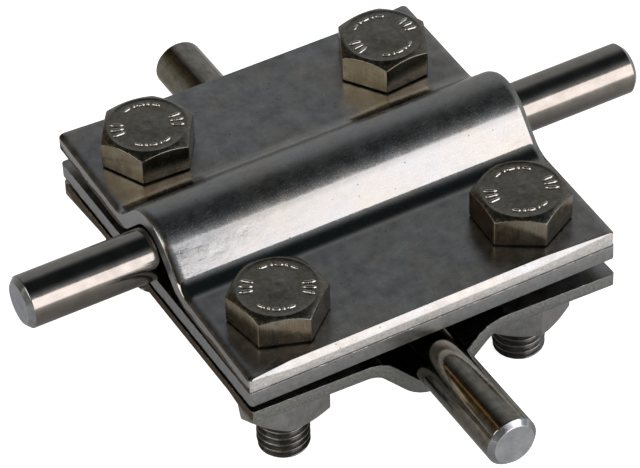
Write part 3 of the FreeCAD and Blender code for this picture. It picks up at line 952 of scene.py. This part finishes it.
def bolt(name, place, mark_turn):
    """A bolt whose seat lies in its own frame's ground plane, with the shank below it."""
    parts = [head(name + "_head", place),
             thread(name + "_thread", place, -BOLT_LENGTH, CONTACT_GAP)]
    return joined(name, parts + head_marks(place, mark_turn))


def nut(name, place):
    """Hexagon nut that hangs down from its flat seat, chamfered on its free side."""
    outline = hexagon()
    wall = hexagon_wall(outline, -NUT_HEIGHT, 0, 1, 0)
    hole = [round_row(outline, reach, level) for reach, level in (
        (NUT_BORE_RADIUS + 0.05, 0), (NUT_BORE_RADIUS, -0.1),
        (NUT_BORE_RADIUS, NUT_MOUTH - NUT_HEIGHT), (NUT_BORE_RADIUS + NUT_MOUTH, -NUT_HEIGHT))]
    return piece(name, wall + hole, place, [NUT_STEEL], wrap_rows=True)


def washer(name, place):
    """A plain washer that hangs down from its upper face."""
    corners = [(WASHER_BORE_RADIUS, 0), (WASHER_RADIUS, 0), (WASHER_RADIUS, -WASHER_THICKNESS),
               (WASHER_BORE_RADIUS, -WASHER_THICKNESS)]
    middle = (WASHER_BORE_RADIUS, -WASHER_THICKNESS / 2)
    profile = fillet([middle] + corners + [middle], WASHER_RIM)[:-1]
    rows = [ring(reach, level, 96) for reach, level in profile]
    return piece(name, rows, place, [WASHER_STEEL], wrap_rows=True)


for corner, (side, way, head_turn, nut_turn, mark_turn) in CORNERS.items():
    axis = UPPER_FRAME @ shifted(side * BOLT_PITCH / 2, bolt_depth(way), BOLT_SEAT)
    grip = (seat_height(way) - nut_height(side)) / cos(UPPER_LEAN)
    bolt_made = bolt("hexagon_bolt_" + corner, axis @ turned(radians(head_turn), "Z"),
                     radians(mark_turn))
    nut_made = nut("hexagon_nut_" + corner,
                   axis @ shifted(0, 0, -grip) @ turned(radians(nut_turn), "Z"))
    across = (side * BOLT_PITCH / 2 * cos(LOWER_LEAN)
              - (LOWER_ROD_FALL + nut_height(side)) * sin(LOWER_LEAN))
    along = bolt_depth(way) * cos(UPPER_LEAN) + (grip - BOLT_SEAT) * sin(UPPER_LEAN)
    washer_made = washer("plain_washer_" + corner,
                         LOWER_FRAME @ shifted(across, along, WASHER_LEVEL))
    for made, kind, body in ((bolt_made, "bolt", "bolt_" + corner),
                             (nut_made, "nut", "nut_" + corner),
                             (washer_made, "washer", "clamp")):
        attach(made, body)
        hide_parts(kind + "_" + corner)


# --- floor, light and camera ----------------------------------------------

FLOOR_REACH = 30000
FRONT_AZIMUTH = 26


def direction(azimuth, elevation):
    """The way from the object to a place at this azimuth and elevation, in degrees."""
    turn, rise = radians(azimuth), radians(elevation)
    return Vector((sin(turn) * cos(rise), -cos(turn) * cos(rise), sin(rise)))


def white_floor():
    """A white sheet that keeps a soft shadow.

    What mirrors see of it has painted shade close by, as if the block shaded it,
    and a painted glow beyond the front lamp's foot that stands in for that lamp's light.
    """
    mesh = bmesh.new()
    corners = [Vector((x, y, 0)) * FLOOR_REACH for x, y in ((-1, -1), (1, -1), (1, 1), (-1, 1))]
    mesh.faces.new([mesh.verts.new(corner * MM) for corner in corners])
    material = bpy.data.materials.new("white_sheet")
    material.use_nodes = True
    material.node_tree.nodes.clear()
    nodes = Nodes(material)
    output = nodes.add("ShaderNodeOutputMaterial")
    paper = nodes.add("ShaderNodeBsdfDiffuse")
    glow = nodes.add("ShaderNodeEmission")
    path = nodes.add("ShaderNodeLightPath")
    mirrored = nodes.math("MAXIMUM", path.outputs["Is Glossy Ray"],
                          path.outputs["Is Transmission Ray"])
    away = nodes.add("ShaderNodeVectorMath", operation="LENGTH")
    nodes.plug(nodes.mapped(), away.inputs[0])
    # painted shade: mirrors see the sheet dimmer within 75 mm of the block's middle, standing in
    # for the block's shadow
    shade = nodes.math("MULTIPLY", mirrored, nodes.remap(away.outputs["Value"], 28, 75, 0.45, 0.0))
    nodes.plug(nodes.grey(nodes.math("SUBTRACT", 0.75, nodes.math("MULTIPLY", shade, 0.75))),
               paper.inputs["Color"])
    # painted glow: mirrors see the sheet brighter the further it lies towards the front lamp,
    # standing in for that lamp's light on it
    toward = nodes.along(nodes.mapped(), direction(FRONT_AZIMUTH, 0))
    painted_glow = nodes.remap(toward, 60, 400, 0.06, 1.0)
    seen = nodes.math("MAXIMUM", nodes.math("MULTIPLY", path.outputs["Is Camera Ray"], 0.93),
                      nodes.math("MULTIPLY", mirrored, painted_glow))
    nodes.plug(seen, glow.inputs["Strength"])
    both = nodes.add("ShaderNodeAddShader")
    nodes.plug(paper.outputs["BSDF"], both.inputs[0])
    nodes.plug(glow.outputs["Emission"], both.inputs[1])
    nodes.plug(both.outputs["Shader"], output.inputs["Surface"])
    floor = mesh_object("white_floor", mesh, [material])


def studio_air():
    """A room that is pale at the horizon and dark overhead, with spill above the front lamp.

    Each ramp runs over the height of the direction looked in. The left side is
    darker and warmer, and has a narrow amber line.
    """
    world = bpy.data.worlds.new("studio")
    world.use_nodes = True
    bpy.context.scene.world = world
    world.node_tree.nodes.clear()
    nodes = Nodes(world)
    way = nodes.add("ShaderNodeTexCoord").outputs["Generated"]
    part = nodes.split(way)

    def ramp(shades):
        node = nodes.add("ShaderNodeValToRGB")
        elements = node.color_ramp.elements
        while len(elements) < len(shades):
            elements.new(0.5)
        for element, (height, shade) in zip(elements, shades):
            element.position = height
            element.color = (*shade, 1)
        nodes.plug(part["Z"], node.inputs["Fac"])
        return node.outputs["Color"]

    right = ramp([
        (0.0, (0.56, 0.56, 0.56)), (0.1, (0.56, 0.56, 0.56)), (0.4, (0.52, 0.53, 0.54)),
        (0.6, (0.52, 0.53, 0.55)), (0.7, (0.48, 0.49, 0.51)), (0.75, (0.38, 0.39, 0.4)),
        (0.8, (0.22, 0.23, 0.235)), (0.84, (0.122, 0.135, 0.143)), (0.88, (0.05, 0.057, 0.061)),
        (0.92, (0.027, 0.034, 0.037)), (1.0, (0.027, 0.034, 0.037)),
    ])
    left = ramp([
        (0.0, (0.5, 0.5, 0.47)), (0.15, (0.42, 0.41, 0.36)), (0.3, (0.3, 0.29, 0.24)),
        (0.45, (0.17, 0.15, 0.11)), (0.58, (0.08, 0.065, 0.045)), (0.68, (0.05, 0.04, 0.03)),
        (0.8, (0.05, 0.045, 0.04)), (0.9, (0.05, 0.05, 0.045)), (1.0, (0.045, 0.05, 0.05)),
    ])
    slit = ramp([
        (0.655, (0, 0, 0)), (0.662, (1.5, 0.75, 0.26)), (0.672, (1.5, 0.75, 0.26)),
        (0.68, (0, 0, 0)),
    ])
    spill = ramp([
        (0.63, (0.17, 0.2, 0.225)), (0.66, (0.1, 0.125, 0.142)), (0.7, (0.055, 0.07, 0.08)),
        (0.74, (0.028, 0.036, 0.041)), (0.78, (0, 0, 0)),
    ])
    side = nodes.remap(part["X"], -0.18, 0.16)
    air = nodes.mix(side, left, right)
    seen = nodes.math("MULTIPLY", nodes.math("SUBTRACT", 1.0, side),
                      nodes.remap(part["Y"], 0.655, 0.69, 1.0, 0.0))
    air = nodes.mix(seen, air, slit, "ADD")
    window = nodes.add("ShaderNodeMapRange", interpolation_type="SMOOTHSTEP")
    nodes.plug(nodes.along(way, direction(FRONT_AZIMUTH, 0)), window.inputs["Value"])
    window.inputs["From Min"].default_value = 0.36
    window.inputs["From Max"].default_value = 0.6
    air = nodes.mix(window.outputs["Result"], air, spill, "ADD")
    background = nodes.add("ShaderNodeBackground")
    nodes.plug(air, background.inputs["Color"])
    output = nodes.add("ShaderNodeOutputWorld")
    nodes.plug(background.outputs["Background"], output.inputs["Surface"])


def softbox(name, azimuth, elevation, distance, width, height, brightness, colour):
    """A flat lamp that faces the object. brightness is what a mirror would show of it."""
    lamp = bpy.data.lights.new(name, "AREA")
    lamp.shape = "RECTANGLE"
    lamp.size = width * MM
    lamp.size_y = height * MM
    lamp.energy = brightness * pi * width * height * MM * MM
    lamp.color = colour
    made = bpy.data.objects.new(name, lamp)
    way = direction(azimuth, elevation)
    made.location = way * distance * MM
    made.rotation_mode = "QUATERNION"
    made.rotation_quaternion = way.to_track_quat("Z", "Y")
    bpy.context.scene.collection.objects.link(made)


white_floor()
studio_air()
softbox("front_softbox", FRONT_AZIMUTH, 20.0, 900, 900, 640, 3.75, (1.0, 0.93, 0.93))
softbox("left_softbox", -80, 39, 900, 760, 320, 4.4, (1.0, 0.955, 0.88))

CAMERA_AZIMUTH = -26.916
CAMERA_ELEVATION = 40.655
CAMERA_ROLL = -3.35
CAMERA_DISTANCE = 545.7
CAMERA_TARGET = Vector((-2.974, -1.098, 19.278))
CAMERA_LENS = 208.19

camera = bpy.data.objects.new("camera", bpy.data.cameras.new("camera"))
camera.data.lens = CAMERA_LENS
camera.data.sensor_width = 36
camera.data.clip_start = 0.01
camera.data.clip_end = 100
back = direction(CAMERA_AZIMUTH, CAMERA_ELEVATION)
camera.location = (CAMERA_TARGET + back * CAMERA_DISTANCE) * MM
camera.rotation_mode = "QUATERNION"
camera.rotation_quaternion = (back.to_track_quat("Z", "Y")
                              @ Quaternion((0, 0, 1), radians(CAMERA_ROLL)))
bpy.context.scene.collection.objects.link(camera)
bpy.context.scene.camera = camera
bpy.context.scene.view_settings.view_transform = "Standard"
